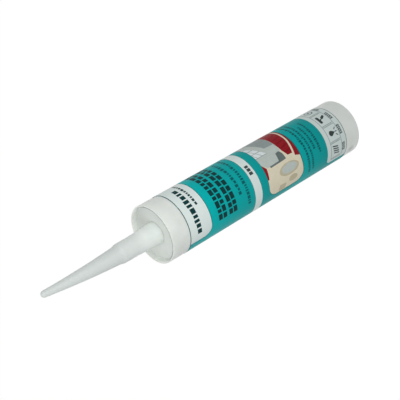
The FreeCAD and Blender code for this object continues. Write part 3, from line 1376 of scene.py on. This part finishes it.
@dataclass
class NeckThread:
    """The right-hand thread on the neck, which shows when the nozzle is off."""

    root_mm: float = 6.2
    depth_mm: float = 0.6
    foot_mm: float = 1.7
    crest_mm: float = 0.6
    pitch_mm: float = 3.0
    first_mm: float = 219.6
    turns: float = 5.0
    run_out: float = 0.05     # share of the thread over which it fades at each end

    def tree(self) -> bpy.types.NodeTree:
        """Build the tree that sweeps the thread's section along a helix.

        Returns:
            The finished tree.
        """
        t = Tree("neck_thread", dict.fromkeys(
            ("Root radius", "Pitch", "Turns", "First turn", "Section width", "Crest width",
             "Section height", "Run-out"), "Float") | {"Plastic": "Material"})
        root, turns = t.given["Root radius"], t.given["Turns"]
        helix = t.add("CurveSpiral", {"Resolution": 48, "Rotations": turns, "Start Radius": root,
                                      "End Radius": root, "Reverse": True,
                                      "Height": t.math("MULTIPLY", t.given["Pitch"], turns)})
        raised = t.add("SetPosition", {"Geometry": helix["Curve"],
                                       "Offset": t.point(z=t.given["First turn"])})
        upright = t.add("SetCurveNormal", {"Curve": raised["Geometry"]}, mode="Z_UP")
        along = t.add("SplineParameter")["Factor"]
        nearer_end = t.math("MINIMUM", along, t.math("SUBTRACT", 1.0, along))
        fade = t.mapped(nearer_end, 0.0, t.given["Run-out"], first=0.02)
        section = t.add("CurvePrimitiveQuadrilateral",
                        {"Height": t.given["Section height"],
                         "Bottom Width": t.given["Section width"],
                         "Top Width": t.given["Crest width"], "Offset": 0.0}, mode="TRAPEZOID")
        turned = t.add("Transform", {"Geometry": section["Curve"],
                                     "Rotation": (0, 0, math.radians(90))})
        swept = t.add("CurveToMesh", {"Curve": upright["Curve"], "Scale": fade,
                                      "Profile Curve": turned["Geometry"], "Fill Caps": True})
        return t.finish(swept["Mesh"], t.given["Plastic"])

    def build(self, plastic: bpy.types.Material) -> bpy.types.Object:
        """Build the thread on the cartridge's neck.

        Args:
            plastic: The cartridge's finish.

        Returns:
            The thread's piece.
        """
        height = 2 * self.depth_mm   # half of the section lies inside the neck
        mesh = grown("thread", self.tree(), {
            "Root radius": self.root_mm * MM, "Pitch": self.pitch_mm * MM, "Turns": self.turns,
            "First turn": self.first_mm * MM, "Section width": self.foot_mm * MM,
            "Crest width": self.crest_mm * MM, "Section height": height * MM,
            "Run-out": self.run_out, "Plastic": plastic})
        return make_piece("neck_thread", [mesh], plastic, "cartridge")


@dataclass
class PasteFill:
    """The paste between the piston and the head, built at the length of its plain solid."""

    radius_mm: float = 23.45
    rounding_mm: float = 0.9
    segments: int = 96
    arc_step: int = 15   # degrees

    def profile(self, low_mm: float, high_mm: float) -> list[Point]:
        """Follow half of the paste's section.

        Args:
            low_mm: Height of its rear face.
            high_mm: Height of its front face.

        Returns:
            Points as (radius, height), from one end of the axis to the other.
        """
        points: list[Point] = [(0.0, low_mm)]
        for middle, start in ((low_mm + self.rounding_mm, -90), (high_mm - self.rounding_mm, 0)):
            for turn in range(start, start + 91, self.arc_step):
                angle = math.radians(turn)
                points.append((self.radius_mm - self.rounding_mm * (1 - math.cos(angle)),
                               middle + self.rounding_mm * math.sin(angle)))
        return points + [(0.0, high_mm)]

    def build(self) -> bpy.types.Object:
        """Build the paste in the place of its plain solid.

        Returns:
            The paste's piece.
        """
        lowest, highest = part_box("sealant")
        low_mm, high_mm = lowest.z / MM, highest.z / MM
        lathe = bmesh.new()
        rings = []
        for radius, height in self.profile(low_mm, high_mm):
            if radius == 0:
                rings.append([lathe.verts.new((0, 0, height * MM))])
                continue
            turns = [2 * math.pi * step / self.segments for step in range(self.segments)]
            rings.append([lathe.verts.new((radius * math.cos(turn) * MM,
                                           radius * math.sin(turn) * MM, height * MM))
                          for turn in turns])
        for lower, upper in zip(rings, rings[1:]):
            for step in range(self.segments):
                following = (step + 1) % self.segments
                corners = [lower[step % len(lower)], lower[following % len(lower)],
                           upper[following % len(upper)], upper[step % len(upper)]]
                lathe.faces.new(list(dict.fromkeys(corners)))
        for face in lathe.faces:
            face.smooth = True
        bmesh.ops.recalc_face_normals(lathe, faces=lathe.faces[:])
        mesh = bpy.data.meshes.new("paste")
        lathe.to_mesh(mesh)
        lathe.free()
        piece = make_piece("paste_fill", [mesh], AcrylicPaste().material(), "cartridge")
        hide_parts("sealant")
        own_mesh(piece)
        return piece


@dataclass
class MouldedParts:
    """The three plastic mouldings, which keep their CAD shapes."""

    barrel: MouldedPolyethylene = WornBarrel(
        "high_density_polyethylene_moulded", "#E6EBE6", "#DEE3DE", 0.42, 0.35, glow_mm=3.0)
    nozzle: MouldedPolyethylene = NozzlePolyethylene(
        "low_density_polyethylene_moulded", "#ECF2EE", "#E6EDE9", 0.46, 0.2, flow_mm=2.4)
    piston: MouldedPolyethylene = MouldedPolyethylene(
        "polyethylene_piston_moulded", "#E2E7E3", "#D8DED9", 0.5, 0.12, mottle_mm=9.0)

    def build(self) -> bpy.types.Material:
        """Dress the CAD mouldings.

        Returns:
            The barrel's material, which the thread shares.
        """
        materials = {"cartridge": self.barrel.material(), "nozzle": self.nozzle.material(),
                     "piston": self.piston.material()}
        for node, material in materials.items():
            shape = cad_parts[node]
            shape.data.materials.clear()
            shape.data.materials.append(material)
            log.info("%s: %s", node, material.name)
        return materials["cartridge"]


@dataclass
class PhotoCamera:
    """The camera at the photograph's viewing angle, rolled as the object lies there."""

    place: tuple[float, float, float] = (0.0, -0.6656, 0.60537)
    right: tuple[float, float, float] = (-0.50314, -0.47333, -0.72306)
    up: tuple[float, float, float] = (0.86419, -0.28152, -0.41705)
    forward: tuple[float, float, float] = (0.00616, 0.83469, -0.55069)
    lens_mm: float = 89.4
    sensor_mm: float = 36.0

    def build(self) -> None:
        """Create the camera and make it the scene's own."""
        data = bpy.data.cameras.new("camera")
        data.lens = self.lens_mm
        data.sensor_width = self.sensor_mm
        data.clip_end = 20.0
        camera = bpy.data.objects.new("camera", data)
        bpy.context.scene.collection.objects.link(camera)
        columns = Matrix((self.right, self.up, [-value for value in self.forward])).transposed()
        camera.matrix_world = Matrix.Translation(self.place) @ columns.to_4x4()
        bpy.context.scene.camera = camera


@dataclass
class SoftLamp:
    """A square soft box that looks at a point."""

    name: str
    place: tuple[float, float, float]
    target: tuple[float, float, float]
    size: float
    watts: float

    def build(self) -> None:
        """Create the lamp."""
        data = bpy.data.lights.new(self.name, "AREA")
        data.shape = "SQUARE"
        data.size = self.size
        data.energy = self.watts
        lamp = bpy.data.objects.new(self.name, data)
        lamp.visible_camera = False
        bpy.context.scene.collection.objects.link(lamp)
        look = Vector(self.target) - Vector(self.place)
        lamp.matrix_world = (Matrix.Translation(self.place)
                             @ look.to_track_quat("-Z", "Y").to_matrix().to_4x4())
        log.info("%s: %.1f W, %.2f m wide", self.name, self.watts, self.size)


@dataclass
class Studio:
    """White floor, white surroundings and soft lamps."""

    floor_size: float = 8.0
    floor_white: float = 0.8
    seen_white: float = 1.13
    shown_share: float = 0.8    # plain white in the floor's look, the rest keeps shadows
    ambient: float = 0.60
    lamps: list[SoftLamp] = field(default_factory=lambda: [
        SoftLamp("key", (0.052, -0.294, 0.296), (0.0, 0.0, 0.27), 0.17, 0.34),
        SoftLamp("top", (-0.134, -0.113, 0.573), (0.0, 0.0, 0.25), 0.17, 0.26),
    ])

    def seen(self, nodes: Nodes) -> Socket:
        """Tell the rays that show a background from those that light the object.

        Args:
            nodes: The world's or the floor's node tree.

        Returns:
            A socket that is 1 for camera, glossy and transmission rays.
        """
        path = nodes.add("LightPath")
        either = nodes.math("MAXIMUM", path["Is Camera Ray"], path["Is Glossy Ray"])
        return nodes.math("MAXIMUM", either, path["Is Transmission Ray"])

    def build_world(self) -> None:
        """Surround the object with white that lights it gently."""
        world = bpy.data.worlds.new("surroundings")
        bpy.context.scene.world = world
        world.use_nodes = True
        nodes = Nodes(world.node_tree)
        light, shown = (nodes.add("Background", {"Color": srgb(WHITE), "Strength": strength})
                        for strength in (self.ambient, 1.0))
        mixed = nodes.add("MixShader", {0: self.seen(nodes), 1: light["Background"],
                                        2: shown["Background"]})
        nodes.add("OutputWorld", {"Surface": mixed["Shader"]})

    def build_floor(self) -> None:
        """Lay the white floor that the tube stands on."""
        half = self.floor_size / 2
        mesh = bpy.data.meshes.new("floor")
        mesh.from_pydata([(-half, -half, 0), (half, -half, 0), (half, half, 0), (-half, half, 0)],
                         [], [(0, 1, 2, 3)])
        shader = Shader("matt_white_paper")
        paper = shader.add("BsdfDiffuse", {"Color": (self.floor_white,) * 3 + (1.0,)})
        plain = shader.add("Emission", {"Color": srgb(WHITE), "Strength": self.seen_white})
        share = shader.math("MULTIPLY", self.seen(shader), self.shown_share)
        mixed = shader.add("MixShader", {0: share, 1: paper["BSDF"], 2: plain["Emission"]})
        shader.add("OutputMaterial", {"Surface": mixed["Shader"]})
        mesh.materials.append(shader.material)
        floor = bpy.data.objects.new("floor", mesh)
        bpy.context.scene.collection.objects.link(floor)

    def build(self) -> None:
        """Build the whole studio."""
        self.build_world()
        self.build_floor()
        for lamp in self.lamps:
            lamp.build()
        bpy.context.scene.view_settings.view_transform = "Standard"


def main() -> None:
    """Build the studio and every piece of the tube."""
    logging.basicConfig(level=logging.INFO, format="%(name)s: %(message)s")
    PhotoCamera().build()
    Studio().build()
    barrel_plastic = MouldedParts().build()
    barrel = BarrelPrint()
    LabelFilm().build(barrel)
    FieldPrint().build(barrel)
    PicturePrint().build(barrel)
    SymbolPrint().build(barrel)
    NeckThread().build(barrel_plastic)
    PasteFill().build()


if __name__ == "__main__":
    main()
